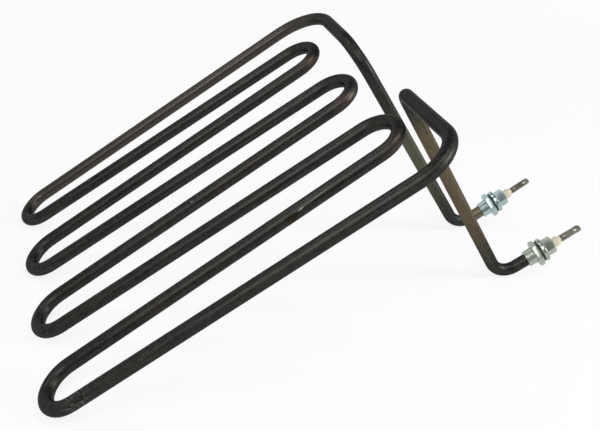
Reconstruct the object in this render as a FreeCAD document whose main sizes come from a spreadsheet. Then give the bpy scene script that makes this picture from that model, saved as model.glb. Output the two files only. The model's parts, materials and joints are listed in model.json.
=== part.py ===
import FreeCAD, Part
import math
import os
import re
import Sketcher
from FreeCAD import Placement, Rotation, Vector

# Tubular heating element: one long sheathed tube bent to eight runs, two cross pieces and two
# legs, with a screwed bushing, a ceramic insulator and a tab at each end.
#
# Element frame: the runs lie along X in the plane Z = 0, the mid plane is Y = 0, X = 0 is the line
# of bend centres away from the legs, and the legs hang down to Z = -leg_height.
# End frame: Z runs out along the terminal from the bushing's back face, Y is the element's up.
# Rest frame: the element tilted so that its far bends and its right foot stand on Z = 0.

os.makedirs("parts", exist_ok=True)
doc = FreeCAD.newDocument("heating_element")

# Driving dimensions, in millimetres and degrees
SIZES = {
    # tube
    "tube_diameter": 8.5,
    "run_pitch": 36,
    "bend_radius": 16,
    "bend_step": 3.5,
    "run_length": 205,
    "leg_setback": 33.5,
    "leg_spacing": 70,
    "leg_height": 169.5,
    "foot_radius": 13,
    # each leg: outer corner, top of the leg, and the toe angle of the terminal
    "left_corner_radius": 32,
    "left_top_radius": 24,
    "left_top_drop": -1.5,
    "left_top_lean": 0,
    "left_toe_angle": 0,
    "right_corner_radius": 27,
    "right_top_radius": 8,
    "right_top_drop": 6.5,
    "right_top_lean": 3.3,
    "right_toe_angle": 2.6,
    # bushing, crimped on the tube
    "bushing_reach": 22,
    "crimp_length": 6.1,
    "crimp_flats": 10,
    "crimp_corners": 11.2,
    "barrel_length": 5.2,
    "barrel_diameter": 12,
    "flange_length": 3.1,
    "flange_diameter": 16.6,
    "flange_edge": 0.6,
    "head_length": 6.6,
    "head_flats": 10.6,
    "head_crown": 0.9,
    "head_face": 10,
    "hex_turn": 48,
    # nut and gasket on the bushing's barrel
    "nut_length": 4,
    "nut_flats": 16,
    "nut_chamfer": 0.8,
    "gasket_diameter": 15,
    "thread_clearance": 0.1,
    # sealed end of the tube
    "sheath_recess": 0.4,
    "sheath_wall": 0.75,
    "seal_length": 6,
    "insulator_diameter": 6.6,
    "insulator_buried": 4,
    "insulator_exposed": 4.4,
    "insulator_edge": 0.5,
    "nose_diameter": 4.8,
    "nose_length": 1.6,
    # pin and tab
    "pin_diameter": 3,
    "pin_depth": 12,
    "pin_fit": 0.1,
    "pin_lap": 4.5,
    "tab_length": 15.2,
    "tab_width": 6.3,
    "tab_thickness": 0.8,
    "tab_corner": 1.2,
    "tab_hole": 2,
    "tab_hole_inset": 3.9,
}

sheet = doc.addObject("Spreadsheet::Sheet", "sizes")
for row, (name, number) in enumerate(SIZES.items(), start=1):
    sheet.set(f"A{row}", name)
    sheet.set(f"B{row}", str(number))
    sheet.setAlias(f"B{row}", name)
doc.recompute()


def size(name):
    return float(getattr(sheet, name))


def in_sheet(expression):
    """The expression with each size's name turned into a reference to its cell."""
    def cell(word):
        return f"sizes.{word[0]}" if word[0] in SIZES else word[0]
    return re.sub(r"[a-z_]+", cell, expression)


def bind(obj, **bindings):
    """Tie properties to expressions; a double underscore in a name stands for a dot."""
    for name, expression in bindings.items():
        obj.setExpression(name.replace("__", "."), in_sheet(expression))
    return obj


# Heights along the end frame's Z axis
BARREL = "crimp_length"
FLANGE = "crimp_length + barrel_length"
HEAD = f"{FLANGE} + flange_length"
BUSHING_END = f"{HEAD} + head_length"
NUT_END = "crimp_length + nut_length"
SHEATH_END = f"{BUSHING_END} - sheath_recess"
SEAL_FRONT = f"{SHEATH_END} - insulator_buried"
SEAL_BACK = f"{SEAL_FRONT} - seal_length"
PIN_BACK = f"{SEAL_BACK} - pin_depth"
NOSE = f"{BUSHING_END} + insulator_exposed"
TAB_BASE = f"{NOSE} + nose_length"

# Radii
TUBE = "tube_diameter / 2"
END_BORE = "tube_diameter / 2 - sheath_wall"
PIN = "pin_diameter / 2"
PIN_HOLE = "pin_diameter / 2 + pin_fit"
BARREL_BORE = "barrel_diameter / 2 + thread_clearance"


def origin_plane(body, role):
    return next(item for item in body.Origin.OriginFeatures if item.Role == role)


def outline(body, name, start, points):
    """A closed sketch on the body's XZ plane, raised to start, through (x, z) expressions."""
    sketch = body.newObject("Sketcher::SketchObject", name)
    sketch.AttachmentSupport = [(origin_plane(body, "XZ_Plane"), "")]
    sketch.MapMode = "FlatFace"
    bind(sketch, AttachmentOffset__Base__y=start)
    count = len(points)
    # rough places round a circle, which the dimensions below then move
    turns = [i * math.tau / count for i in range(count)]
    rough = [Vector(math.cos(turn), math.sin(turn), 0) for turn in turns]
    for i in range(count):
        sketch.addGeometry(Part.LineSegment(rough[i], rough[(i + 1) % count]), False)
    for i in range(count):
        sketch.addConstraint(Sketcher.Constraint("Coincident", i, 2, (i + 1) % count, 1))
    for i, point in enumerate(points):
        for kind, axis, expression in zip(("DistanceX", "DistanceY"), (-2, -1), point):
            if expression == "0":
                sketch.addConstraint(Sketcher.Constraint("PointOnObject", i, 1, axis))
            else:
                number = sketch.addConstraint(Sketcher.Constraint(kind, -1, 1, i, 1, 1.0))
                sketch.setExpression(f"Constraints[{number}]", in_sheet(expression))
    return sketch


def turned(name, start, points):
    """A body turned about the end frame's Z axis from (radius, height above start) expressions."""
    body = doc.addObject("PartDesign::Body", name)
    sketch = outline(body, f"{name}_profile", start, points)
    turning = body.newObject("PartDesign::Revolution", f"{name}_turning")
    turning.Profile = sketch
    turning.ReferenceAxis = (sketch, ["V_Axis"])
    turning.Angle = 360
    return body


def hex_bar(name, start, length, flats):
    bar = doc.addObject("Part::Prism", name)
    bar.Polygon = 6
    bind(bar, Height=length, Circumradius=f"({flats}) / 2 / cos(30)")
    return bind(bar, Placement__Base__z=start, Placement__Rotation__Angle="hex_turn")


def shared(name, base, tool):
    joined = doc.addObject("Part::Common", name)
    joined.Base, joined.Tool = base, tool
    return joined


def removed(name, base, tool):
    rest = doc.addObject("Part::Cut", name)
    rest.Base, rest.Tool = base, tool
    return rest


def fused(name, pieces):
    whole = doc.addObject("Part::MultiFuse", name)
    whole.Shapes = pieces
    return whole


def make_bushing(side):
    """Crimped hexagon, threaded barrel, round flange and hexagon head, bored for the tube."""
    crimp_blank = turned(f"{side}_crimp_blank", "0", [
        (TUBE, "0"), ("crimp_corners / 2", "0"),
        ("crimp_corners / 2", "crimp_length"), (TUBE, "crimp_length")])
    crimp_hex = hex_bar(f"{side}_crimp_hex", "0", "crimp_length", "crimp_flats")
    crimp = shared(f"{side}_crimp", crimp_blank, crimp_hex)
    barrel = turned(f"{side}_barrel", BARREL, [
        (TUBE, "0"), ("barrel_diameter / 2", "0"), ("barrel_diameter / 2", "barrel_length"),
        ("flange_diameter / 2 - flange_edge", "barrel_length"),
        ("flange_diameter / 2", "barrel_length + flange_edge"),
        ("flange_diameter / 2", "barrel_length + flange_length - flange_edge"),
        ("flange_diameter / 2 - flange_edge", "barrel_length + flange_length"),
        (TUBE, "barrel_length + flange_length")])
    corner = "head_flats / 2 / cos(30)"
    head_blank = turned(f"{side}_head_blank", HEAD, [
        (TUBE, "0"), (corner, "0"), (corner, "head_length - head_crown"),
        ("head_face / 2", "head_length"), (TUBE, "head_length")])
    head_hex = hex_bar(f"{side}_head_hex", HEAD, "head_length", "head_flats")
    head = shared(f"{side}_head", head_blank, head_hex)
    return fused(f"{side}_bushing", [crimp, barrel, head])


def make_nut(side):
    """Hexagon nut on the bushing's barrel, its corners turned off at 30 degrees at both faces."""
    corner = "nut_flats / 2 / cos(30)"
    face = f"{corner} - nut_chamfer / tan(30)"
    blank = turned(f"{side}_nut_blank", BARREL, [
        (BARREL_BORE, "0"), (face, "0"), (corner, "nut_chamfer"),
        (corner, "nut_length - nut_chamfer"), (face, "nut_length"), (BARREL_BORE, "nut_length")])
    nut_hex = hex_bar(f"{side}_nut_hex", BARREL, "nut_length", "nut_flats")
    return shared(f"{side}_lock_nut", blank, nut_hex)


def make_gasket(side):
    """Flat sealing ring between the nut and the flange."""
    thickness = "barrel_length - nut_length"
    return turned(f"{side}_gasket", NUT_END, [
        (BARREL_BORE, "0"), ("gasket_diameter / 2", "0"), ("gasket_diameter / 2", thickness),
        (BARREL_BORE, thickness)])


def make_insulator(side):
    """Stepped ceramic bush that stands in the tube's end, with a nose round the pin."""
    body_length = "insulator_buried + sheath_recess + insulator_exposed"
    return turned(f"{side}_insulator", SEAL_FRONT, [
        (PIN_HOLE, "0"), ("insulator_diameter / 2", "0"),
        ("insulator_diameter / 2", f"{body_length} - insulator_edge"),
        ("insulator_diameter / 2 - insulator_edge", body_length), ("nose_diameter / 2", body_length),
        ("nose_diameter / 2", f"{body_length} + nose_length"),
        (PIN_HOLE, f"{body_length} + nose_length")])


def make_seal(side):
    """Soft plug that closes the tube's end behind the insulator."""
    return turned(f"{side}_end_seal", SEAL_BACK, [
        (PIN, "0"), (END_BORE, "0"), (END_BORE, "seal_length"), (PIN, "seal_length")])


def make_pin(side):
    """Cold pin, flatted at its outer end to lap under the tab."""
    pin_length = f"{TAB_BASE} + pin_lap - ({PIN_BACK})"
    rod = turned(f"{side}_pin_rod", PIN_BACK, [
        ("0", "0"), (PIN, "0"), (PIN, pin_length), ("0", pin_length)])
    flat = doc.addObject("Part::Box", f"{side}_pin_flat")
    bind(flat, Length="pin_diameter * 2", Width="pin_diameter", Height="pin_lap * 2",
         Placement__Base__x="- pin_diameter", Placement__Base__y="- tab_thickness / 2",
         Placement__Base__z=TAB_BASE)
    return removed(f"{side}_cold_pin", rod, flat)


def make_tab(side):
    """Push-on tab, a flat blade with cut corners and a hole near its tip."""
    body = doc.addObject("PartDesign::Body", f"{side}_tab")
    half = "tab_width / 2"
    sketch = outline(body, f"{side}_tab_outline", TAB_BASE, [
        ("tab_width", "0"), ("tab_width", "tab_length - tab_corner"),
        ("tab_width - tab_corner", "tab_length"), ("tab_corner", "tab_length"),
        ("0", "tab_length - tab_corner"), ("0", "0")])
    bind(sketch, AttachmentOffset__Base__x=f"- {half}")
    hole = sketch.addGeometry(Part.Circle(Vector(0.5, 0.5, 0), Vector(0, 0, 1), 0.2), False)
    for kind, expression in (("DistanceX", half), ("DistanceY", "tab_length - tab_hole_inset")):
        number = sketch.addConstraint(Sketcher.Constraint(kind, -1, 1, hole, 3, 0.5))
        sketch.setExpression(f"Constraints[{number}]", in_sheet(expression))
    number = sketch.addConstraint(Sketcher.Constraint("Diameter", hole, 0.4))
    sketch.setExpression(f"Constraints[{number}]", in_sheet("tab_hole"))
    blade = body.newObject("PartDesign::Pad", f"{side}_tab_blade")
    blade.Profile = sketch
    blade.Midplane = True
    bind(blade, Length="tab_thickness")
    return body


def make_end_bore(side):
    """Stepped hole that takes the seal, the insulator's root and the pin."""
    depth = "pin_depth + seal_length + insulator_buried + sheath_recess"
    return turned(f"{side}_end_bore", PIN_BACK, [
        ("0", "0"), (PIN, "0"), (PIN, "pin_depth"), (END_BORE, "pin_depth"), (END_BORE, depth),
        ("0", depth)])


def corner_arc(before, corner, after, radius):
    """The start, middle, end and centre of the arc that rounds a corner."""
    back = (before - corner).normalize()
    onward = (after - corner).normalize()
    half_angle = back.getAngle(onward) / 2
    tangent = radius / math.tan(half_angle)
    inward = (back + onward).normalize()
    centre = corner + inward * (radius / math.sin(half_angle))
    return corner + back * tangent, centre - inward * radius, corner + onward * tangent, centre


def rounded(points, radii):
    """Straight edges through the points, with a tangent arc of its own radius at each corner."""
    edges = []
    start = points[0]
    for before, corner, after, radius in zip(points, points[1:], points[2:], radii):
        enter, middle, leave, _ = corner_arc(before, corner, after, radius)
        edges += [Part.LineSegment(start, enter), Part.Arc(enter, middle, leave)]
        start = leave
    return edges + [Part.LineSegment(start, points[-1])]


# Eight runs joined by seven bends, which are numbered from 0 at the left
RUNS = 8
LAST_BEND = RUNS - 2
# The sides of the element by their place along Y
SIDES = {"left": 1, "right": -1}


def bend_centre(number):
    """Bends at one end of the runs stand two pitches apart, each a step further along X."""
    places = LAST_BEND / 2 - number
    along = -places / 2 * size("bend_step")
    if number % 2:
        along += size("run_length")
    return Vector(along, places * size("run_pitch"), 0)


def run_start(number):
    """Direction from a bend's centre to the point where the run to the next bend leaves it."""
    between = bend_centre(number + 1) - bend_centre(number)
    swing = math.acos(2 * size("bend_radius") / between.Length)
    slope = math.atan2(between.y, between.x)
    turn = slope + swing if number % 2 else slope - swing
    return Vector(math.cos(turn), math.sin(turn), 0)


def bend_points(number):
    """A bend's start, middle and end; the first and last bend are symmetrical about X."""
    outward = Vector(1 if number % 2 else -1, 0, 0)
    if number == 0:
        end = run_start(number)
        start = Vector(end.x, -end.y, 0)
    else:
        start = run_start(number - 1) * -1
        end = run_start(number) if number < LAST_BEND else Vector(start.x, -start.y, 0)
    return [bend_centre(number) + toward * size("bend_radius") for toward in (start, outward, end)]


def terminal_direction(side):
    toe = math.radians(size(f"{side}_toe_angle"))
    return Vector(math.cos(toe), SIDES[side] * math.sin(toe), 0)


def foot_corner(side):
    along = size("run_length") + size("leg_setback")
    return Vector(along, SIDES[side] * size("leg_spacing") / 2, -size("leg_height"))


def leg_points(side):
    """Tube end, foot, top of the leg, outer corner and the outer end of the side's last bend."""
    foot = foot_corner(side)
    bushing_length = sum(size(f"{part}_length") for part in ("crimp", "barrel", "flange", "head"))
    reach = size("bushing_reach") + bushing_length - size("sheath_recess")
    top = foot + Vector(size(f"{side}_top_lean"), 0, size("leg_height") - size(f"{side}_top_drop"))
    centre = bend_centre(0 if side == "left" else LAST_BEND)
    bend_end = bend_points(0)[0] if side == "left" else bend_points(LAST_BEND)[2]
    slope = (centre.x - bend_end.x) / (bend_end.y - centre.y)
    outer = Vector(top.x, bend_end.y + slope * (top.x - bend_end.x), 0)
    return [foot + terminal_direction(side) * reach, foot, top, outer, bend_end]


def leg_radii(side):
    return [size("foot_radius"), size(f"{side}_top_radius"), size(f"{side}_corner_radius")]


def tube_edges():
    bends = [bend_points(number) for number in range(LAST_BEND + 1)]
    edges = rounded(leg_points("left"), leg_radii("left"))
    for bend, following in zip(bends, bends[1:]):
        edges += [Part.Arc(*bend), Part.LineSegment(bend[2], following[0])]
    edges.append(Part.Arc(*bends[-1]))
    return edges + rounded(leg_points("right")[::-1], leg_radii("right")[::-1])


def end_seat(side):
    """The end frame in the element frame."""
    out = terminal_direction(side)
    turn = Rotation(out.cross(Vector(0, 0, -1)), Vector(0, 0, 1), out, "ZYX")
    return Placement(foot_corner(side) + out * size("bushing_reach"), turn)


def make_tube():
    """The sheathed tube, swept along its route and bored at both ends."""
    route = doc.addObject("Part::Feature", "tube_route")
    route.Shape = Part.Wire([edge.toShape() for edge in tube_edges()])
    section = doc.addObject("Part::Circle", "tube_section")
    bind(section, Radius=TUBE)
    start = route.Shape.OrderedEdges[0]
    section.Placement = Placement(start.valueAt(start.FirstParameter),
                                  Rotation(Vector(0, 0, 1), start.tangentAt(start.FirstParameter)))
    swept = doc.addObject("Part::Sweep", "tube_sweep")
    swept.Sections = [section]
    swept.Spine = (route, [f"Edge{number + 1}" for number in range(len(route.Shape.Edges))])
    swept.Solid = True
    swept.Frenet = False
    bores = []
    for side in SIDES:
        bore = make_end_bore(side)
        bore.Placement = end_seat(side)
        bores.append(bore)
    return removed("heating_tube", swept, fused("end_bores", bores))


END_MAKERS = (make_bushing, make_nut, make_gasket, make_insulator, make_seal, make_pin, make_tab)

tube = make_tube()
places = {tube: Placement()}
for side in SIDES:
    for make in END_MAKERS:
        places[make(side)] = end_seat(side)
for obj in places:
    obj.Label = obj.Name
doc.recompute()


def lowest(centre, radius, axis, up):
    """The lowest point of a bend of the tube, over a floor that is square to up."""
    down = (axis * axis.dot(up) - up).normalize()
    return centre + down * radius - up * (size("tube_diameter") / 2)


# The floor touches the first and last far bend and the right foot. Its direction and the points
# that touch it depend on each other, so both are found in rounds.
SETTLING_ROUNDS = 20
tube_end, foot, top = leg_points("right")[:3]
foot_centre = corner_arc(tube_end, foot, top, size("foot_radius"))[3]
foot_axis = (tube_end - foot).cross(top - foot).normalize()
flat = Vector(0, 0, 1)
touching = [(bend_centre(0), size("bend_radius"), flat),
            (bend_centre(LAST_BEND), size("bend_radius"), flat),
            (foot_centre, size("foot_radius"), foot_axis)]
up = Vector(1, 0, 1).normalize()
for _ in range(SETTLING_ROUNDS):
    first, last, heel = [lowest(*bend, up) for bend in touching]
    up = (last - first).cross(heel - first).normalize()
along_runs = (Vector(1, 0, 0) - up * up.x).normalize()
level = Rotation(along_runs, up.cross(along_runs), up, "ZXY").inverted()
rest = Placement(Vector(0, 0, -first.dot(up)), level)

# The rest frame's origin is the middle of the box that holds every piece, at the floor
box = FreeCAD.BoundBox()
for obj, seat in places.items():
    obj.Placement = rest.multiply(seat)
doc.recompute()
for obj in places:
    box.add(obj.Shape.optimalBoundingBox(False))
middle = Placement(Vector(-box.Center.x, -box.Center.y, 0), Rotation())
for obj in places:
    obj.Placement = middle.multiply(obj.Placement)
doc.recompute()

for obj in doc.Objects:
    if "Invalid" in obj.State or "Error" in obj.State:
        raise RuntimeError(f"{obj.Label} did not build: {obj.State}")
for obj in places:
    if obj.Shape.isNull() or not obj.Shape.isValid() or len(obj.Shape.Solids) != 1:
        raise RuntimeError(f"{obj.Label} is not one valid solid")
for obj in places:
    obj.Shape.exportStep(f"parts/{obj.Label}.step")
    print(obj.Label, round(obj.Shape.Volume, 1))
print("tilt", round(math.degrees(math.acos(up.z)), 2), "length of tube", round(doc.tube_route.Shape.Length, 1))
print("box", [round(side, 1) for side in (box.XLength, box.YLength, box.ZLength)])
print("lowest point", round(box.ZMin, 3))
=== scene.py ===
import bmesh
import bpy
import json
import math
from mathutils import Matrix, Vector


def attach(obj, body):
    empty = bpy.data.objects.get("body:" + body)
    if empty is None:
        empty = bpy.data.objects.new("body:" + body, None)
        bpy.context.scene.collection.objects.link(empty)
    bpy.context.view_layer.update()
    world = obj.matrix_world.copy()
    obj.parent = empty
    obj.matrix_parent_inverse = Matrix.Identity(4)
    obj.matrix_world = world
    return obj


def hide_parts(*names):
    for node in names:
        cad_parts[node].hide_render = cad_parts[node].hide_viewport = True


# Tubular heating element: oxidised steel sheath, zinc plated fittings, ceramic ends and steel tabs
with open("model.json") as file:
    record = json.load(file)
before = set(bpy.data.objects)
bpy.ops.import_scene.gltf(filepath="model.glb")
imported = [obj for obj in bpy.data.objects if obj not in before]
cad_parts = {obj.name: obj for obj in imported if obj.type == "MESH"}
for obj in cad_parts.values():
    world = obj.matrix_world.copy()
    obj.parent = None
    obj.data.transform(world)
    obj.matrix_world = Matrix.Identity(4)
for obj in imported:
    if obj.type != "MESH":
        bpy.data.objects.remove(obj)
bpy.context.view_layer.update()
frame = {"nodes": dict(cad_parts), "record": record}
mm = 0.001
sides = ("left", "right")
nodes = frame["nodes"]
mounts = {mount["name"]: mount for mount in frame["record"]["mounts"]}
print("frame loaded:", len(nodes), "nodes")


def mountPlace(name):
    return Vector(mounts[name]["pos_m"])


def mountAxis(name):
    return Vector(mounts[name]["axis"]).normalized()


def seat(origin, along, up):
    # a frame with z along one direction and y up another
    return Matrix.Translation(origin) @ Matrix((up.cross(along), up, along)).transposed().to_4x4()


def endSeat(side):
    # a terminal end: z out along it from the back of its flange, y square to its tab
    hole = side + "_panel_hole"
    return seat(mountPlace(hole), mountAxis(hole), mountAxis(side + "_tab_face"))


ends = {side: endSeat(side) for side in sides}


def linearColour(hexColour):
    # an sRGB hex value as the linear colour that Blender's sockets take
    channels = [int(hexColour[i:i + 2], 16) / 255 for i in (1, 3, 5)]
    return [c / 12.92 if c <= 0.04045 else ((c + 0.055) / 1.055) ** 2.4 for c in channels] + [1.0]


def perMetre(sizeMm):
    # the scale of a pattern whose features are sizeMm across
    return 1 / (sizeMm * mm)


def span(word, limits):
    # the two sockets of a Map Range that a pair of limits goes to
    return {word + " Min": limits[0], word + " Max": limits[1]}


def addNode(tree, kind, links=None, **settings):
    # a node with its settings and links: an input takes a value, a socket, or a node, whose first
    # live output is then used
    node = tree.nodes.new("ShaderNode" + kind)
    for name, value in settings.items():
        setattr(node, name, value)
    for name, value in (links or {}).items():
        if isinstance(value, bpy.types.Node):
            value = next(socket for socket in value.outputs if socket.enabled)
        if isinstance(value, bpy.types.NodeSocket):
            tree.links.new(value, node.inputs[name])
        else:
            node.inputs[name].default_value = value
    return node


def newMaterial(name):
    # an empty material, its node tree and the place on the object that its patterns read
    material = bpy.data.materials.new(name)
    material.use_nodes = True
    tree = material.node_tree
    tree.nodes.clear()
    return material, tree, addNode(tree, "TexCoord").outputs["Object"]


def fadeFrom(tree, place, spot, reach, strength):
    # strength at a spot, easing to nothing at the reach; of a pair of reaches it stays full up to
    # the first
    full, none = reach if isinstance(reach, tuple) else (0.0, reach)
    away = addNode(tree, "VectorMath", {0: place, 1: spot}, operation="DISTANCE")
    return addNode(tree, "MapRange", {"Value": away.outputs["Value"], **span("From", (none, full)),
                                      "To Max": strength}, interpolation_type="SMOOTHSTEP")


sheath = {
    "mirrored": "#c6c6c6",       # what it gives back at a glancing angle
    "black": "#252625",
    "grey": "#3f403d",
    "streakShare": 0.6,          # how much of the grey follows the streaks, the rest the mottle
    "greyFrom": (0.34, 0.66),
    "roughFrom": (0.35, 0.65),
    "rough": (0.36, 0.5),
    "cloudMm": 30,
    "mottleMm": 3.0,
    "grainMm": 0.5,              # coarser than the oxide's real grain, so that it shows
    "streakMm": 1.1,             # drawing lines, coarser than real ones
    "stretch": 60,
    "grainShare": 0.4,           # of the relief, beside the streaks
    "reliefMm": 0.004,
    "reliefStrength": 0.5,
    # clouds of thicker oxide
    "warm": "#4c3f39",
    "warmFrom": (0.45, 0.75),
    "warmMost": 0.2,
    # the farthest run, from its nearer side on, in metres along Y
    "late": "#524d47",
    "lateFrom": (0.110, 0.118),
    "lateMost": 0.6,
    # pinkish brown outside the right bends, partly a heat tint and partly a painted satin sheen:
    # places in metres
    "tintAndSheen": "#5e5049",
    "tintAndSheenSpots": ((0.0220, -0.0895, 0.1290), (0.0165, -0.0185, 0.1300), (0.0120, 0.0540, 0.1320)),
    "tintAndSheenMm": 12,
    "tintAndSheenMost": 0.6,
    # the legs ran hotter: two tones of each, and the heights over the plane of the runs, in metres
    "leg": {"left": ("#4b4a40", "#605f52"), "right": ("#52493b", "#6d6451")},
    "legTop": (-0.012, -0.045),
    "legLate": 0.035,            # how much lower the left leg's colour sets in
    "legEnd": (-0.165, -0.100),
    "legDrop": 0.1691,           # from the plane of the runs down to the faces of the tabs
    "legGap": (-0.02, 0.02),     # along Y, between the legs
    # temper colour of the stub beside the left bushing, and its reach from the flange in metres
    "gold": "#776d59",
    "stub": (0.019, 0.027),
    "goldMost": 0.85,
    # the brown patch on the second run: place in metres, reach in mm
    "rust": "#2d2a1d",
    "singe": ((-0.0344, -0.0933, 0.0920), 5.5),
    "singeMost": 1.6,
    "rustFrom": (0.4, 0.6),
    "rustLeast": 0.2,
    # flaked oxide inside the nearest left bend: place in metres, reach in mm
    "fleck": "#5f5e5a",
    "scale": ((-0.1540, -0.1268, 0.0165), 11.0),
    "scaleMost": 1.2,
    "fleckMm": 1.4,
    "fleckFrom": (0.5, 0.62),
    # marks rubbed bare, painted pale as their glints: place in metres, direction, half length and
    # half width in mm, strength
    "pale": "#b0aea8",
    "rubsAndGlints": (((-0.0300, -0.0928, 0.0969), (0.80, 0.03, 0.60), 2.6, 0.45, 1.0),
             ((-0.0225, -0.0922, 0.1023), (0.81, 0.06, 0.58), 14, 0.35, 0.16),
             ((-0.0372, -0.0925, 0.0867), (0.84, 0.0, 0.54), 1.6, 0.6, 0.8),
             ((-0.0780, -0.0206, 0.0702), (0.84, 0.0, 0.54), 1.3, 1.0, 0.2)),
    "rubEdge": 0.3,              # share of a mark that is bare through and through
}


def alongRuns():
    # the tube's own directions: z along the runs, y square to them, so the legs go down along -y
    square = mountAxis("left_tab_face")
    plane = mountPlace("left_tab_face") + square * sheath["legDrop"]
    return seat(plane, mountAxis("left_panel_hole"), square)


def oxidisedSheath():
    # drawn steel tube, annealed and oxidised in the furnace: black with a soft grey sheen, streaked
    # lengthwise by the drawing, cloudy, olive brown down the legs
    material, tree, place = newMaterial("oxidised_sheath")
    frameOfRuns = alongRuns()
    turned = addNode(tree, "Mapping", {"Vector": place, "Location": frameOfRuns.translation,
                                       "Rotation": frameOfRuns.to_euler()}, vector_type="TEXTURE")
    below = addNode(tree, "SeparateXYZ", {0: turned}).outputs["Y"]
    across = addNode(tree, "SeparateXYZ", {0: place}).outputs["Y"]
    farSide = addNode(tree, "MapRange", {"Value": across, **span("From", sheath["legGap"])})
    height = addNode(tree, "Math", {0: farSide, 1: sheath["legLate"], 2: below},
                     operation="MULTIPLY_ADD")
    leg = addNode(tree, "MapRange", {"Value": height, **span("From", sheath["legTop"])},
                  interpolation_type="SMOOTHSTEP")
    above = addNode(tree, "MapRange", {"Value": below, **span("From", sheath["legEnd"])},
                    interpolation_type="SMOOTHSTEP")
    brown = addNode(tree, "Math", {0: leg, 1: above}, operation="MULTIPLY")
    cloud = addNode(tree, "TexNoise", {"Vector": place, "Scale": perMetre(sheath["cloudMm"]),
                                       "Detail": 3})
    mottle = addNode(tree, "TexNoise", {"Vector": place, "Scale": perMetre(sheath["mottleMm"]),
                                        "Detail": 3})
    grain = addNode(tree, "TexNoise", {"Vector": place, "Scale": perMetre(sheath["grainMm"]),
                                       "Detail": 3})
    # streaks follow the runs above and the legs below
    streaks = []
    for squeeze in ((1, 1, 1 / sheath["stretch"]), (1, 1 / sheath["stretch"], 1)):
        drawn = addNode(tree, "Mapping", {"Vector": turned, "Scale": squeeze})
        lines = addNode(tree, "TexNoise", {"Vector": drawn, "Scale": perMetre(sheath["streakMm"]),
                                           "Detail": 4, "Roughness": 0.6})
        streaks.append(lines)
    streak = addNode(tree, "Mix", {0: leg, 2: streaks[0], 3: streaks[1]}, data_type="FLOAT")
    # near black, greyer in streaks and mottle, warmer in clouds
    streaky = addNode(tree, "Math", {0: streak, 1: sheath["streakShare"]}, operation="MULTIPLY")
    both = addNode(tree, "Math", {0: mottle, 1: 1 - sheath["streakShare"], 2: streaky},
                   operation="MULTIPLY_ADD")
    greyer = addNode(tree, "MapRange", {"Value": both, **span("From", sheath["greyFrom"])})
    tone = addNode(tree, "Mix", {0: greyer, 6: linearColour(sheath["black"]),
                                 7: linearColour(sheath["grey"])}, data_type="RGBA")
    warm = addNode(tree, "MapRange", {"Value": cloud, **span("From", sheath["warmFrom"]),
                                      "To Max": sheath["warmMost"]})
    tone = addNode(tree, "Mix", {0: warm, 6: tone, 7: linearColour(sheath["warm"])},
                   data_type="RGBA")
    late = addNode(tree, "MapRange", {"Value": across, **span("From", sheath["lateFrom"]),
                                      "To Max": sheath["lateMost"]})
    tone = addNode(tree, "Mix", {0: late, 6: tone, 7: linearColour(sheath["late"])},
                   data_type="RGBA")
    # pinkish brown outside the right bends: a heat tint with a painted satin sheen
    for spot in sheath["tintAndSheenSpots"]:
        tintAndSheen = fadeFrom(tree, place, spot, sheath["tintAndSheenMm"] * mm, sheath["tintAndSheenMost"])
        tone = addNode(tree, "Mix", {0: tintAndSheen, 6: tone, 7: linearColour(sheath["tintAndSheen"])},
                       data_type="RGBA")
    # the legs
    legTones = {}
    for side in sides:
        low, high = [linearColour(colour) for colour in sheath["leg"][side]]
        legTones[side] = addNode(tree, "Mix", {0: greyer, 6: low, 7: high}, data_type="RGBA")
    legTone = addNode(tree, "Mix", {0: farSide, 6: legTones["right"], 7: legTones["left"]},
                      data_type="RGBA")
    tone = addNode(tree, "Mix", {0: brown, 6: tone, 7: legTone}, data_type="RGBA")
    hot = fadeFrom(tree, place, ends["left"].translation, sheath["stub"], sheath["goldMost"])
    tone = addNode(tree, "Mix", {0: hot, 6: tone, 7: linearColour(sheath["gold"])},
                   data_type="RGBA")
    # the brown patch, broken up by the mottle
    spot, reach = sheath["singe"]
    patch = fadeFrom(tree, place, spot, reach * mm, sheath["singeMost"])
    broken = addNode(tree, "MapRange", {"Value": mottle, **span("From", sheath["rustFrom"]),
                                        "To Min": sheath["rustLeast"]})
    speck = addNode(tree, "Math", {0: patch, 1: broken}, operation="MULTIPLY", use_clamp=True)
    tone = addNode(tree, "Mix", {0: speck, 6: tone, 7: linearColour(sheath["rust"])},
                   data_type="RGBA")
    # the flakes
    spot, reach = sheath["scale"]
    patch = fadeFrom(tree, place, spot, reach * mm, sheath["scaleMost"])
    flakes = addNode(tree, "TexNoise", {"Vector": place, "Scale": perMetre(sheath["fleckMm"]),
                                        "Detail": 3})
    flake = addNode(tree, "MapRange", {"Value": flakes, **span("From", sheath["fleckFrom"])})
    speck = addNode(tree, "Math", {0: patch, 1: flake}, operation="MULTIPLY", use_clamp=True)
    tone = addNode(tree, "Mix", {0: speck, 6: tone, 7: linearColour(sheath["fleck"])},
                   data_type="RGBA")
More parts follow.
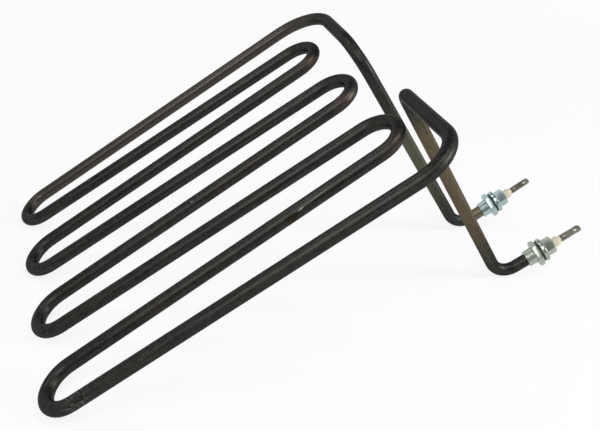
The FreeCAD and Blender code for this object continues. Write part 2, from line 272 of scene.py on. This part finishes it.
    # the rubbed marks, with their glints painted in pale
    for spot, along, length, width, strength in sheath["rubsAndGlints"]:
        turn = Vector(along).to_track_quat("X", "Y").to_euler()
        local = addNode(tree, "Mapping", {"Vector": place, "Location": spot, "Rotation": turn,
                                          "Scale": Vector((length, width, width)) * mm},
                        vector_type="TEXTURE")
        away = addNode(tree, "VectorMath", {0: local}, operation="LENGTH")
        rubAndGlint = addNode(tree, "MapRange", {"Value": away.outputs["Value"], "To Max": strength,
                                          **span("From", (1.0, sheath["rubEdge"]))},
                       interpolation_type="SMOOTHSTEP")
        tone = addNode(tree, "Mix", {0: rubAndGlint, 6: tone, 7: linearColour(sheath["pale"])},
                       data_type="RGBA")
    rough = addNode(tree, "MapRange", {"Value": both, **span("From", sheath["roughFrom"]),
                                       **span("To", sheath["rough"])})
    relief = addNode(tree, "Math", {0: grain, 1: sheath["grainShare"], 2: streak},
                     operation="MULTIPLY_ADD")
    skin = addNode(tree, "Bump", {"Height": relief, "Distance": sheath["reliefMm"] * mm,
                                  "Strength": sheath["reliefStrength"]})
    shader = addNode(tree, "BsdfPrincipled", {"Base Color": tone, "Metallic": 1.0,
                                              "Specular Tint": linearColour(sheath["mirrored"]),
                                              "Roughness": rough, "Normal": skin})
    addNode(tree, "OutputMaterial", {"Surface": shader})
    return material


zinc = {
    "left": ("#b7c7c9", "#94a6a8"),     # bluish passivation on the far end
    "right": ("#b4bcaf", "#949c90"),    # greener on the near one
    "cloudMm": 2.5,
    "cloudFrom": (0.3, 0.7),
    "dulled": (0.2, 0.8),
    "rough": (0.22, 0.3),
    "ringMm": 0.25,                     # turning marks, coarser than real ones
    "grainMm": 0.15,
    "grainShare": 0.4,                  # of the relief, beside the turning marks
    "reliefMm": 0.001,
    "reliefStrength": 0.2,
}


def zincPlate(side):
    # turned steel, bright zinc plated and passivated: cool silver, softly mirrored, with rings from
    # the lathe
    material, tree, place = newMaterial("zinc_plate_" + side)
    turned = addNode(tree, "Mapping", {"Vector": place, "Location": ends[side].translation,
                                       "Rotation": ends[side].to_euler()}, vector_type="TEXTURE")
    axes = addNode(tree, "SeparateXYZ", {0: turned})
    flat = addNode(tree, "CombineXYZ", {"X": axes.outputs["X"], "Y": axes.outputs["Y"]})
    radius = addNode(tree, "VectorMath", {0: flat}, operation="LENGTH")
    onLathe = addNode(tree, "CombineXYZ", {"X": radius.outputs["Value"], "Z": axes.outputs["Z"]})
    rings = addNode(tree, "TexNoise", {"Vector": onLathe, "Scale": perMetre(zinc["ringMm"]),
                                       "Detail": 2})
    cloud = addNode(tree, "TexNoise", {"Vector": place, "Scale": perMetre(zinc["cloudMm"]),
                                       "Detail": 4})
    grain = addNode(tree, "TexNoise", {"Vector": place, "Scale": perMetre(zinc["grainMm"]),
                                       "Detail": 2})
    pale, dull = [linearColour(colour) for colour in zinc[side]]
    dulled = addNode(tree, "MapRange", {"Value": cloud, **span("From", zinc["cloudFrom"]),
                                        **span("To", zinc["dulled"])})
    tone = addNode(tree, "Mix", {0: dulled, 6: pale, 7: dull}, data_type="RGBA")
    rough = addNode(tree, "MapRange", {"Value": cloud, **span("From", zinc["cloudFrom"]),
                                       **span("To", zinc["rough"])})
    relief = addNode(tree, "Math", {0: grain, 1: zinc["grainShare"], 2: rings},
                     operation="MULTIPLY_ADD")
    skin = addNode(tree, "Bump", {"Height": relief, "Distance": zinc["reliefMm"] * mm,
                                  "Strength": zinc["reliefStrength"]})
    shader = addNode(tree, "BsdfPrincipled", {"Base Color": tone, "Metallic": 1.0,
                                              "Roughness": rough, "Normal": skin})
    addNode(tree, "OutputMaterial", {"Surface": shader})
    return material


ceramic = {
    "cream": "#d6d0bb",
    "pink": "#cdc2ac",
    "rough": 0.6,
    "cloudMm": 3,
    "speckleMm": 0.4,
    "reliefMm": 0.015,
    "reliefStrength": 0.6,
}


def firedCeramic():
    # steatite, pressed and fired without glaze: cream, faintly pink, dull
    material, tree, place = newMaterial("fired_ceramic")
    cloud = addNode(tree, "TexNoise", {"Vector": place, "Scale": perMetre(ceramic["cloudMm"]),
                                       "Detail": 3})
    speckle = addNode(tree, "TexNoise", {"Vector": place, "Scale": perMetre(ceramic["speckleMm"]),
                                         "Detail": 3})
    tone = addNode(tree, "Mix", {0: cloud, 6: linearColour(ceramic["cream"]),
                                 7: linearColour(ceramic["pink"])}, data_type="RGBA")
    skin = addNode(tree, "Bump", {"Height": speckle, "Distance": ceramic["reliefMm"] * mm,
                                  "Strength": ceramic["reliefStrength"]})
    shader = addNode(tree, "BsdfPrincipled", {"Base Color": tone, "Roughness": ceramic["rough"],
                                              "Normal": skin})
    addNode(tree, "OutputMaterial", {"Surface": shader})
    return material


weld = {
    # two spot welds hold each tab on its pin; places in mm in the end's own directions
    "places": ((0.0, 0.4, 17.1), (0.0, 0.4, 18.9)),
    "acrossMm": 1.5,
    "proudMm": 0.07,
    "steps": (24, 12),
    "haloMm": 1.7,           # bare metal round the outer one
}
tabSteel = {
    "bright": "#c9c6ba",     # bare where the welding tip pressed
    "clean": "#a5a192",
    "dull": "#7d796c",
    # painted shadow at the tab's base
    "baseShadow": "#5f5a4f",
    "metallic": 0.8,         # the rest is its film of oxide
    "patchMm": 2.5,
    "dullFrom": (0.38, 0.62),
    "roughFrom": (0.3, 0.7),
    "rough": (0.36, 0.52),
    "brushMm": 0.3,          # rolling lines, coarser than real ones
    "stretch": 14,
    "reliefMm": 0.01,
    "reliefStrength": 0.5,
    # painted shadow at the tab's base, darkening it up to here, in metres along the end
    "foot": {"left": (0.0290, 0.0235), "right": (0.0215, 0.0157)},
    "footMost": 0.8,
}


def dulledSteel(side):
    # stamped steel strip, nickel plated and dulled by heat: warm grey, rolled lengthwise, with a
    # painted shadow darkening it at the weld
    material, tree, place = newMaterial("dulled_steel_" + side)
    turned = addNode(tree, "Mapping", {"Vector": place, "Location": ends[side].translation,
                                       "Rotation": ends[side].to_euler()}, vector_type="TEXTURE")
    outward = addNode(tree, "SeparateXYZ", {0: turned}).outputs["Z"]
    rolled = addNode(tree, "Mapping", {"Vector": turned, "Scale": (1, 1, 1 / tabSteel["stretch"])})
    brush = addNode(tree, "TexNoise", {"Vector": rolled, "Scale": perMetre(tabSteel["brushMm"]),
                                       "Detail": 3})
    patch = addNode(tree, "TexNoise", {"Vector": place, "Scale": perMetre(tabSteel["patchMm"]),
                                       "Detail": 4, "Roughness": 0.6})
    dulled = addNode(tree, "MapRange", {"Value": patch, **span("From", tabSteel["dullFrom"])})
    tone = addNode(tree, "Mix", {0: dulled, 6: linearColour(tabSteel["clean"]),
                                 7: linearColour(tabSteel["dull"])}, data_type="RGBA")
    # painted shadow darkening the tab's base by the weld
    baseShadow = addNode(tree, "MapRange", {"Value": outward, **span("From", tabSteel["foot"][side]),
                                       "To Max": tabSteel["footMost"]},
                    interpolation_type="SMOOTHSTEP")
    tone = addNode(tree, "Mix", {0: baseShadow, 6: tone, 7: linearColour(tabSteel["baseShadow"])},
                   data_type="RGBA")
    bare = fadeFrom(tree, turned, Vector(weld["places"][-1]) * mm, weld["haloMm"] * mm, 1.0)
    tone = addNode(tree, "Mix", {0: bare, 6: tone, 7: linearColour(tabSteel["bright"])},
                   data_type="RGBA")
    rough = addNode(tree, "MapRange", {"Value": patch, **span("From", tabSteel["roughFrom"]),
                                       **span("To", tabSteel["rough"])})
    skin = addNode(tree, "Bump", {"Height": brush, "Distance": tabSteel["reliefMm"] * mm,
                                  "Strength": tabSteel["reliefStrength"]})
    shader = addNode(tree, "BsdfPrincipled", {"Base Color": tone, "Metallic": tabSteel["metallic"],
                                              "Roughness": rough, "Normal": skin})
    addNode(tree, "OutputMaterial", {"Surface": shader})
    return material


gasket = {
    "dark": "#1f2120",
    "light": "#3a3c3a",
    "rough": 0.85,
    "fibreMm": 0.4,
    "reliefMm": 0.03,
    "reliefStrength": 0.6,
}


def fibreRing():
    # pressed fibre and graphite: dark grey, matt, fuzzy at the fibres
    material, tree, place = newMaterial("fibre_ring")
    fibre = addNode(tree, "TexNoise", {"Vector": place, "Scale": perMetre(gasket["fibreMm"]),
                                       "Detail": 4})
    tone = addNode(tree, "Mix", {0: fibre, 6: linearColour(gasket["dark"]),
                                 7: linearColour(gasket["light"])}, data_type="RGBA")
    skin = addNode(tree, "Bump", {"Height": fibre, "Distance": gasket["reliefMm"] * mm,
                                  "Strength": gasket["reliefStrength"]})
    shader = addNode(tree, "BsdfPrincipled", {"Base Color": tone, "Roughness": gasket["rough"],
                                              "Normal": skin})
    addNode(tree, "OutputMaterial", {"Surface": shader})
    return material


plug = {"red": "#8a4433", "dark": "#6d3427", "rough": 0.5, "cloudMm": 2}


def siliconePlug():
    # moulded silicone sealing plug: brick red, soft sheen
    material, tree, place = newMaterial("silicone_plug")
    cloud = addNode(tree, "TexNoise", {"Vector": place, "Scale": perMetre(plug["cloudMm"]),
                                       "Detail": 3})
    tone = addNode(tree, "Mix", {0: cloud, 6: linearColour(plug["red"]),
                                 7: linearColour(plug["dark"])}, data_type="RGBA")
    shader = addNode(tree, "BsdfPrincipled", {"Base Color": tone, "Roughness": plug["rough"]})
    addNode(tree, "OutputMaterial", {"Surface": shader})
    return material


def dress(obj, material):
    obj.data.materials.clear()
    obj.data.materials.append(material)


def kindOf(name):
    return name.split("_", 1)[1] if name.startswith(sides) else name


finishes = {"heating_tube": oxidisedSheath(), "insulator": firedCeramic(), "gasket": fibreRing(),
            "end_seal": siliconePlug()}
for side in sides:
    metal, strip = zincPlate(side), dulledSteel(side)
    finishes.update({side + "_bushing": metal, side + "_lock_nut": metal,
                     side + "_tab": strip, side + "_cold_pin": strip})
for name, node in nodes.items():
    dress(node, finishes.get(name) or finishes[kindOf(name)])
print("materials:", len(nodes), "nodes dressed")

edges = {
    # how far each kind's edges are broken, in mm
    "bushing": 0.15,
    "lock_nut": 0.2,
    "insulator": 0.3,
    "tab": 0.1,
}
facets = {"mergeMm": 0.002, "flatDegrees": 1.0, "sharpDegrees": 30, "steps": 2, "smoothDegrees": 35}


def brokenEdges(name):
    # the same piece with its edges broken, as the lathe, the press or the kiln leaves them
    shape = bmesh.new()
    shape.from_mesh(nodes[name].data)
    bmesh.ops.remove_doubles(shape, verts=shape.verts, dist=facets["mergeMm"] * mm)
    bmesh.ops.dissolve_limit(shape, angle_limit=math.radians(facets["flatDegrees"]),
                             verts=shape.verts, edges=shape.edges)
    sharp = [edge for edge in shape.edges
             if edge.calc_face_angle(0) > math.radians(facets["sharpDegrees"])]
    bmesh.ops.bevel(shape, geom=sharp, offset=edges[kindOf(name)] * mm, segments=facets["steps"],
                    profile=0.5, affect="EDGES", material=-1, clamp_overlap=True)
    bmesh.ops.dissolve_degenerate(shape, dist=facets["mergeMm"] * mm, edges=shape.edges)
    return shape


def join(shape, other):
    # adds another shape to this one
    mesh = bpy.data.meshes.new("part")
    other.to_mesh(mesh)
    other.free()
    shape.from_mesh(mesh)
    bpy.data.meshes.remove(mesh)


thread = {
    # fine thread of the barrel, under the nut and the gasket: a ridge wound on a core; in mm from
    # the flange
    "pitch": 0.75,
    "core": 5.65,
    "crest": 5.98,
    "barrel": 6.0,
    "nearBarrel": 0.02,      # how close to the barrel's radius a point of it lies
    "rooted": 0.05,          # how deep the ridge's foot sits in the core
    "ends": (-5.0, -0.3),
    "width": (0.6, 0.12),    # of the ridge at its foot and at its crest
    "steps": 40,             # to a turn
}


def cutThread(shape, side):
    # the plain barrel shrinks to the core, and a helical ridge is wound on it
    back = ends[side].inverted()
    shrink = thread["core"] / thread["barrel"]
    near = thread["nearBarrel"] * mm
    for vert in shape.verts:
        spot = back @ vert.co
        if abs(math.hypot(spot.x, spot.y) - thread["barrel"] * mm) < near and spot.z < near:
            vert.co = ends[side] @ Vector((spot.x * shrink, spot.y * shrink, spot.z))
    ridge = bmesh.new()
    foot, crest = [width / 2 for width in thread["width"]]
    sunk = thread["core"] - thread["rooted"]
    start, end = thread["ends"]
    corners = ((sunk, -foot), (thread["crest"], -crest), (thread["crest"], crest), (sunk, foot))
    profile = [ridge.verts.new(Vector((x, 0, start + z)) * mm) for x, z in corners]
    loop = [ridge.edges.new((profile[i - 1], profile[i])) for i in range(len(profile))]
    turns = (end - start) / thread["pitch"]
    steps = round(turns * thread["steps"])
    bmesh.ops.spin(ridge, geom=profile + loop, cent=(0, 0, 0), axis=(0, 0, 1), steps=steps,
                   dvec=(0, 0, (end - start) / steps * mm), angle=math.tau * turns)
    bmesh.ops.holes_fill(ridge, edges=ridge.edges, sides=len(profile))
    bmesh.ops.recalc_face_normals(ridge, faces=ridge.faces)
    bmesh.ops.transform(ridge, matrix=ends[side], verts=ridge.verts)
    join(shape, ridge)


def pressWelds(shape, side):
    # a flat dome at each weld
    around, up = weld["steps"]
    for spot in weld["places"]:
        dome = bmesh.new()
        bmesh.ops.create_uvsphere(dome, u_segments=around, v_segments=up,
                                  radius=weld["acrossMm"] / 2 * mm)
        bmesh.ops.scale(dome, vec=(1, weld["proudMm"] / weld["acrossMm"] * 2, 1), verts=dome.verts)
        bmesh.ops.translate(dome, vec=Vector(spot) * mm, verts=dome.verts)
        bmesh.ops.transform(dome, matrix=ends[side], verts=dome.verts)
        join(shape, dome)


def addPiece(name, shape, replaced):
    # the finished shape as its own object, in its solid's place and material
    mesh = bpy.data.meshes.new(name)
    shape.to_mesh(mesh)
    shape.free()
    mesh.shade_smooth()
    mesh.set_sharp_from_angle(angle=math.radians(facets["smoothDegrees"]))
    piece = bpy.data.objects.new(name, mesh)
    bpy.context.scene.collection.objects.link(piece)
    dress(piece, nodes[replaced].data.materials[0])
    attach(piece, "root")
    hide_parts(replaced)


for side in sides:
    for kind in edges:
        node = f"{side}_{kind}"
        shape = brokenEdges(node)
        if kind == "bushing":
            cutThread(shape, side)
        if kind == "tab":
            pressWelds(shape, side)
        addPiece(node + "_finished", shape, node)
print("pieces:", len(sides) * len(edges), "with broken edges")

floor = {
    "colour": "#f4f4f2",
    "rough": 0.9,
    "across": 8.0,
    "lift": (0.85, 1.0),     # how much of its white only shows: near the object and far from it
    "reach": (0.35, 1.2),    # metres from the object between the two
}
white = linearColour("#ffffff")


def seenDirectly(tree):
    # 1 for what the camera, a mirror or a glass shows, 0 for what only lights the scene
    rays = addNode(tree, "LightPath")
    seen = addNode(tree, "Math", {0: rays.outputs["Is Camera Ray"],
                                  1: rays.outputs["Is Glossy Ray"]}, operation="MAXIMUM")
    return addNode(tree, "Math", {0: seen, 1: rays.outputs["Is Transmission Ray"]},
                   operation="MAXIMUM")


def makeFloor():
    # matt white paper; a part of its white only shows and lights nothing, and the shadows stay
    mesh = bpy.data.meshes.new("floor")
    form = bmesh.new()
    bmesh.ops.create_grid(form, x_segments=1, y_segments=1, size=floor["across"] / 2)
    form.to_mesh(mesh)
    form.free()
    plane = bpy.data.objects.new("floor", mesh)
    bpy.context.scene.collection.objects.link(plane)
    material, tree, place = newMaterial("floor_paper")
    away = addNode(tree, "VectorMath", {0: place}, operation="LENGTH")
    share = addNode(tree, "MapRange", {"Value": away.outputs["Value"],
                                       **span("From", floor["reach"]), **span("To", floor["lift"])})
    lift = addNode(tree, "Math", {0: seenDirectly(tree), 1: share}, operation="MULTIPLY")
    paper = addNode(tree, "BsdfPrincipled", {"Base Color": linearColour(floor["colour"]),
                                             "Roughness": floor["rough"]})
    shown = addNode(tree, "Emission", {"Color": white, "Strength": 1.0})
    both = addNode(tree, "MixShader", {0: lift, 1: paper, 2: shown})
    addNode(tree, "OutputMaterial", {"Surface": both})
    dress(plane, material)


lamps = {
    # place in metres, size in metres, power in watts
    "key": ((-0.46, -0.78, 0.87), 0.62, 6),
    "side": ((1.4, -0.6, 0.75), 0.6, 14),
    "topLeft": ((-0.65, 0.32, 1.3), 0.4, 3),
    "topRight": ((0.55, -0.38, 1.4), 0.4, 5),
}


def makeLamps():
    # each lamp faces the middle of the floor under the object
    for name, (place, across, power) in lamps.items():
        data = bpy.data.lights.new(name, "AREA")
        data.size = across
        data.energy = power
        lamp = bpy.data.objects.new(name, data)
        lamp.location = place
        lamp.rotation_euler = (-Vector(place)).to_track_quat("-Z", "Y").to_euler()
        bpy.context.scene.collection.objects.link(lamp)


sky = {
    "light": 0.25,            # the even light on everything
    "walls": "#ffffff",       # what is mirrored low down
    "front": "#9b9b99",       # the dimmer room in front of the object
    "ahead": (-0.1, -0.6),    # Y of the direction in which the white walls turn into it
    "ceiling": "#7f8185",     # and overhead
    "rise": (0.4, 0.75),      # sine of the height at which the walls turn into the ceiling
}


def makeSky():
    # white where the camera sees it; what is mirrored has white walls, a dimmer front and a grey
    # ceiling; the even light on the object is its own
    world = bpy.data.worlds.new("studio")
    world.use_nodes = True
    tree = world.node_tree
    tree.nodes.clear()
    towards = addNode(tree, "SeparateXYZ", {0: addNode(tree, "TexCoord").outputs["Generated"]})
    high = addNode(tree, "MapRange", {"Value": towards.outputs["Z"], **span("From", sky["rise"])},
                   interpolation_type="SMOOTHSTEP")
    ahead = addNode(tree, "MapRange", {"Value": towards.outputs["Y"], **span("From", sky["ahead"])},
                    interpolation_type="SMOOTHSTEP")
    walls = addNode(tree, "Mix", {0: ahead, 6: linearColour(sky["walls"]),
                                  7: linearColour(sky["front"])}, data_type="RGBA")
    room = addNode(tree, "Mix", {0: high, 6: walls, 7: linearColour(sky["ceiling"])},
                   data_type="RGBA")
    direct = addNode(tree, "LightPath").outputs["Is Camera Ray"]
    room = addNode(tree, "Mix", {0: direct, 6: room, 7: white}, data_type="RGBA")
    shown = addNode(tree, "Background", {"Color": room, "Strength": 1.0})
    even = addNode(tree, "Background", {"Color": white, "Strength": sky["light"]})
    both = addNode(tree, "MixShader", {0: seenDirectly(tree), 1: even, 2: shown})
    addNode(tree, "OutputWorld", {"Surface": both})
    bpy.context.scene.world = world


camera = {
    # places in metres, roll in degrees, lens and sensor in mm
    "place": (-0.1427, -0.4915, 0.3067),
    "aim": (-0.0051, -0.0039, 0.0455),
    "roll": 2.564,
    "lens": 52.49,
    "sensor": 36,
    "clipStart": 0.01,
}


def makeCamera():
    data = bpy.data.cameras.new("camera")
    data.lens = camera["lens"]
    data.sensor_width = camera["sensor"]
    data.clip_start = camera["clipStart"]
    eye = bpy.data.objects.new("camera", data)
    place, aim = Vector(camera["place"]), Vector(camera["aim"])
    turn = (aim - place).to_track_quat("-Z", "Y").to_matrix().to_4x4()
    roll = Matrix.Rotation(math.radians(camera["roll"]), 4, "Z")
    eye.matrix_world = Matrix.Translation(place) @ turn @ roll
    bpy.context.scene.collection.objects.link(eye)
    bpy.context.scene.camera = eye


makeFloor()
makeLamps()
makeSky()
makeCamera()
bpy.context.scene.view_settings.view_transform = "Standard"
print("stage:", len(lamps), "lamps, floor, sky and camera made")
